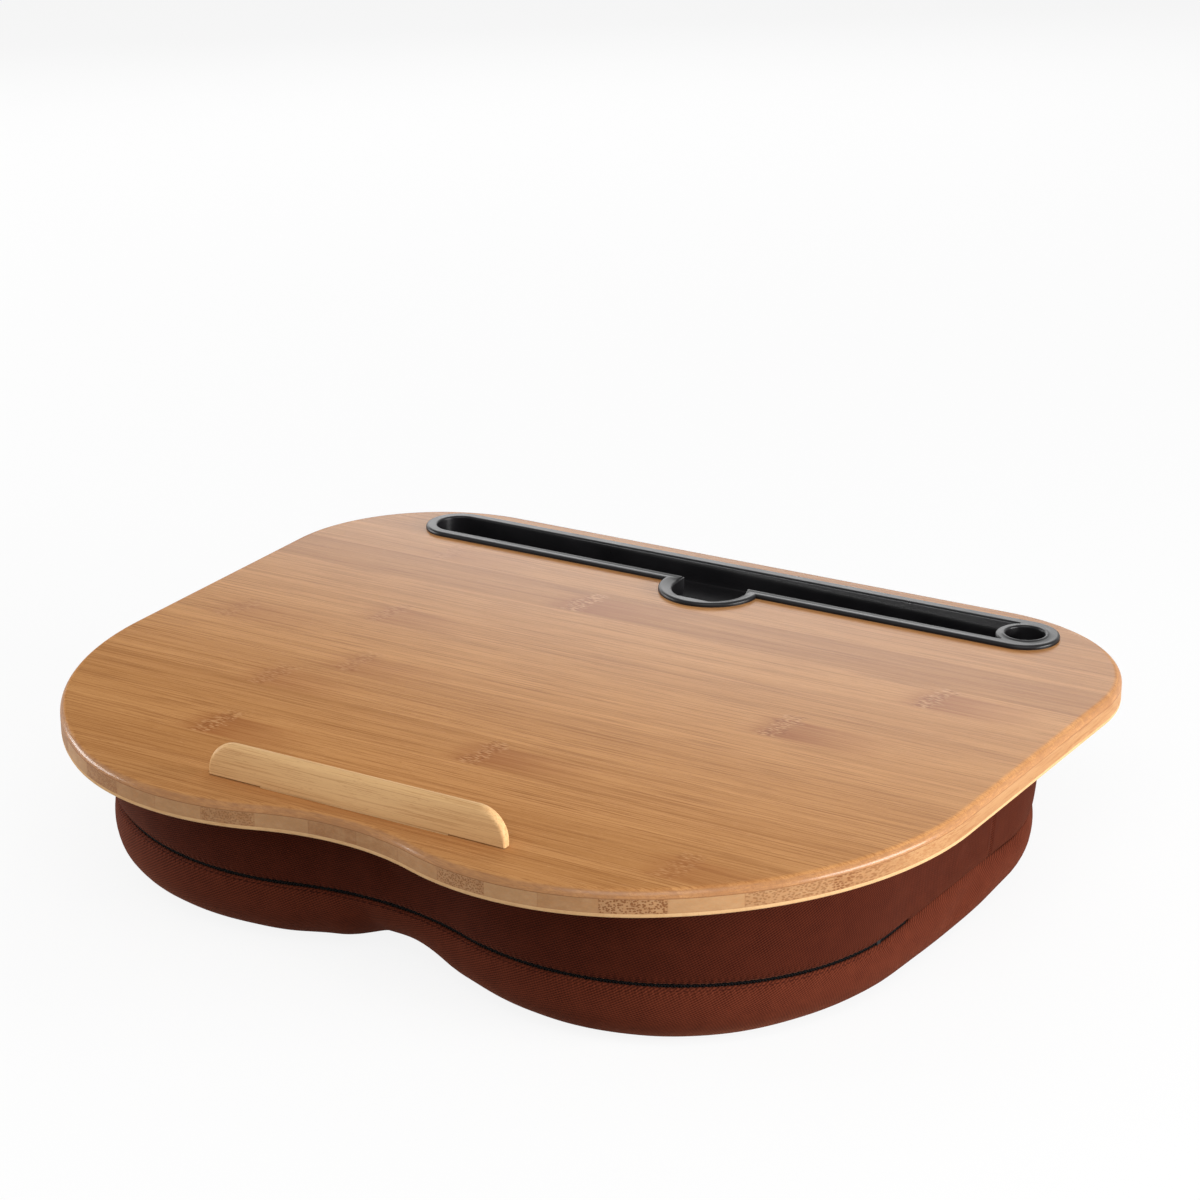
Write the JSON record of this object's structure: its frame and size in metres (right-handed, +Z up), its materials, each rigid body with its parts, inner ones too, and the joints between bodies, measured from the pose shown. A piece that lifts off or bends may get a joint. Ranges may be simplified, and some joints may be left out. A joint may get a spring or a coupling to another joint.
{
  "type": "lap desk",
  "caption": "Kidney-shaped bamboo lap board on a stuffed cloth cushion, with a moulded tablet slot, a finger notch, a pen hole, a lift-out ledge and a zipped cover.",
  "frame": {"origin": "on the surface that the cushion rests on, under the middle of the board", "axes": "+X to the user's right along the board's width, +Y to the back edge with the slot, +Z up"},
  "size_m": [0.382, 0.324, 0.0862],
  "materials": {
    "bamboo": "satin lacquered bamboo, grain from side to side",
    "bamboo_core": "satin lacquered bamboo strips, grain from front to back",
    "bamboo_pale": "satin lacquered pale bamboo",
    "black_plastic": "satin black moulded plastic",
    "brown_cloth": "reddish-brown twill",
    "black_tape": "black woven zip tape",
    "black_coil": "black nylon coil",
    "dark_metal": "black painted die-cast metal",
    "liner_cloth": "plain off-white cloth",
    "foam_beads": "white foam beads",
    "staple_steel": "galvanised wire"
  },
  "bodies": {
    "desk": {"face_ply": "bamboo", "core_strips": "bamboo_core", "back_ply": "bamboo", "slot_insert": "black_plastic", "front_band": "brown_cloth", "rear_band": "brown_cloth", "bottom_panel": "brown_cloth", "zip_tape_upper": "black_tape", "zip_tape_lower": "black_tape", "zip_coil_upper": "black_coil", "zip_coil_lower": "black_coil", "zip_stop_left": "dark_metal", "zip_stop_right": "dark_metal", "pillow_liner": "liner_cloth", "bead_fill": "foam_beads", "staples": "staple_steel"},
    "ledge": {"ledge": "bamboo_pale"},
    "slider": {"zip_slider": "dark_metal"},
    "pull": {"zip_pull": "dark_metal"}
  },
  "joints": [
    {"name": "ledge_lift", "type": "slide", "parent": "desk", "child": "ledge", "axis": [0, 0, 1], "range_m": [0, 0.02]},
    {"name": "zip_run", "type": "hinge", "parent": "desk", "child": "slider", "pos_m": [-0.068, -0.0387, 0.03054], "axis": [0.03, 0, 0.9996], "range_deg": [0, 95]},
    {"name": "pull_swing", "type": "hinge", "parent": "slider", "child": "pull", "pos_m": [-0.16633, -0.05493, 0.03349], "axis": [0.03, 0, 0.9996], "range_deg": [0, 175]}
  ]
}
